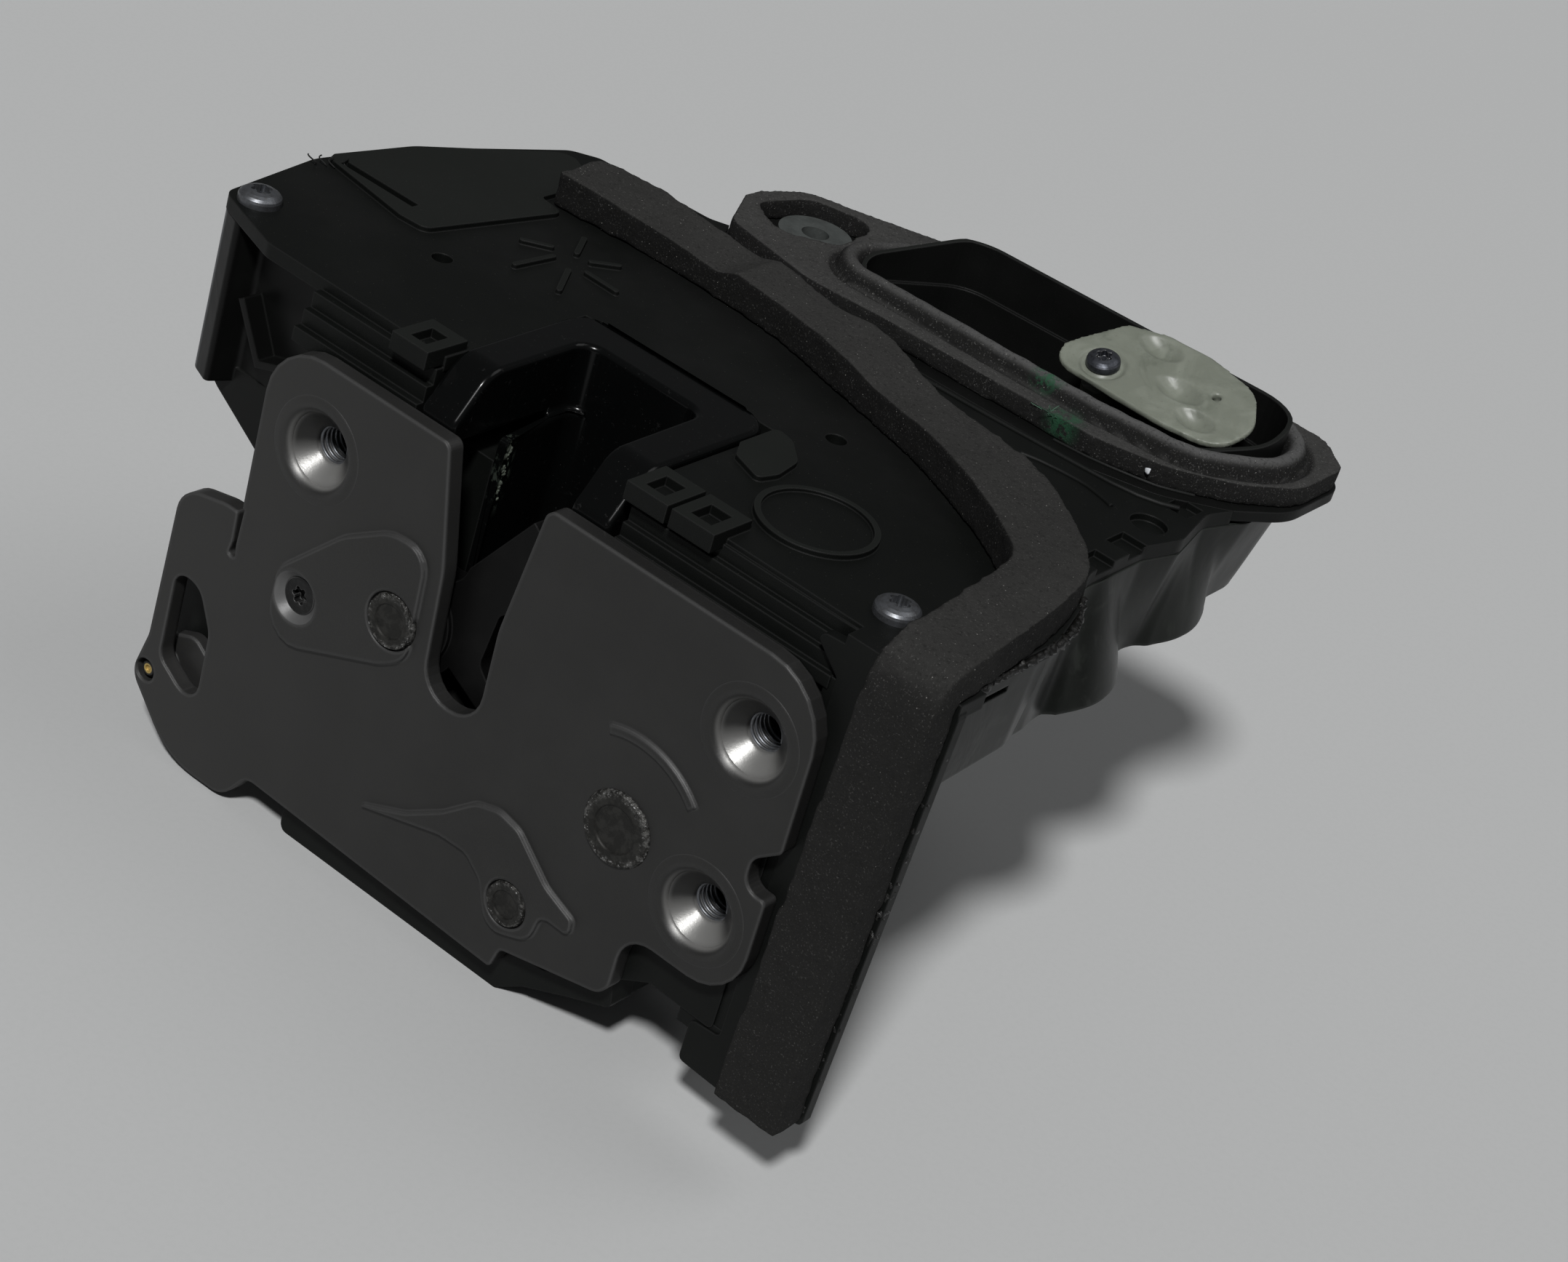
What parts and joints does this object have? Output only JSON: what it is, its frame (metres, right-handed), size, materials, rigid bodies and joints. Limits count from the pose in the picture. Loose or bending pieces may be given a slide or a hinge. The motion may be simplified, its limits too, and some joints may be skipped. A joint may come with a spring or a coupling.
{
  "type": "car door lock",
  "caption": "Rear car door lock with steel striker plate, claw and pawl latch, guarded striker mouth, electric lock drive and a foam-sealed socket for the inside release.",
  "frame": {"origin": "middle of the closed striker bar, on the front face of the striker plate", "axes": "+X along the striker plate towards the foam strip's leg, +Y from the plate into the door, +Z from the latch housing's foot towards the cabin face"},
  "size_m": [0.1561, 0.1283, 0.0994],
  "materials": {
    "phosphated_steel": "satin grey phosphated plate with bare bright cones",
    "zinc_steel": "zinc plated",
    "claw_steel": "black moulded skin",
    "black_plastic": "satin, finely grained",
    "gloss_black": "smooth and glossy, dusty inside",
    "smoke_plastic": "grey and slightly see-through, streaked",
    "foam": "open foam with fine bright specks",
    "nylon": "milky, slightly see-through",
    "natural_plastic": "satin",
    "grey_bush": "satin",
    "pin_brass": "dull",
    "board": "satin"
  },
  "bodies": {
    "lock_body": {"latch_plate": "phosphated_steel", "back_plate": "phosphated_steel", "plate_screw": "zinc_steel", "claw_pin": "zinc_steel", "pawl_pin": "zinc_steel", "spacer_rivet": "zinc_steel", "claw_spring": "zinc_steel", "pawl_spring": "zinc_steel", "claw_buffer": "foam", "striker_guard": "gloss_black", "striker_pad": "foam", "latch_housing": "black_plastic", "rear_cover": "black_plastic", "lobe_pin": "pin_brass", "case_base": "smoke_plastic", "case_cover": "black_plastic", "cover_screws": "zinc_steel", "foam_strip": "foam", "socket_box": "black_plastic", "oval_gasket": "foam", "cable_bush": "grey_bush", "crank_bush": "grey_bush", "lock_motor": "zinc_steel", "wheel_pin": "zinc_steel", "lever_pin": "zinc_steel", "contact_plate": "board", "connector_pins": "pin_brass", "micro_switches": "gloss_black"},
    "claw": {"claw": "claw_steel"},
    "pawl": {"pawl": "phosphated_steel"},
    "outside_lever": {"outside_lever": "phosphated_steel"},
    "crank": {"release_crank": "nylon", "crank_screw": "zinc_steel"},
    "worm": {"worm": "natural_plastic"},
    "wheel": {"worm_wheel": "natural_plastic"},
    "lock_lever": {"lock_lever": "black_plastic"}
  },
  "joints": [
    {"name": "claw_turn", "type": "hinge", "parent": "lock_body", "child": "claw", "pos_m": [-0.0137, 0.0067, 0.0007], "axis": [0, 1, 0], "range_deg": [0, 80], "stiffness_Nm_per_rad": 0.15, "springref_deg": -34.38},
    {"name": "pawl_turn", "type": "hinge", "parent": "lock_body", "child": "pawl", "pos_m": [0.034, 0.0067, -0.0074], "axis": [0, -1, 0], "range_deg": [0, 18], "stiffness_Nm_per_rad": 0.1, "springref_deg": -28.65},
    {"name": "outside_lever_turn", "type": "hinge", "parent": "lock_body", "child": "outside_lever", "pos_m": [-0.0592, 0.0053, -0.0356], "axis": [0, -1, 0], "range_deg": [0, 20], "stiffness_Nm_per_rad": 0.05},
    {"name": "crank_turn", "type": "hinge", "parent": "lock_body", "child": "crank", "pos_m": [0.0545, 0.10383, 0.04755], "axis": [0, -0.309, 0.9511], "range_deg": [0, 8], "stiffness_Nm_per_rad": 0.05, "springref_deg": -11.46},
    {"name": "wheel_turn", "type": "hinge", "parent": "lock_body", "child": "wheel", "pos_m": [0.01, 0.0662, 0.024], "axis": [0, 0, 1], "range_deg": [0, 150]},
    {"name": "worm_spin", "type": "hinge", "parent": "lock_body", "child": "worm", "pos_m": [0.01, 0.0505, 0.024], "axis": [1, 0, 0], "range_deg": [-10, 3910]},
    {"name": "lock_lever_turn", "type": "hinge", "parent": "lock_body", "child": "lock_lever", "pos_m": [-0.0117, 0.0662, 0.027], "axis": [0, 0, 1], "range_deg": [-50.5, 0.5]}
  ],
  "couplings": [
    {"joint": "worm_spin", "follows": "wheel_turn", "ratio": 26},
    {"joint": "lock_lever_turn", "follows": "wheel_turn", "ratio": -0.33333}
  ]
}
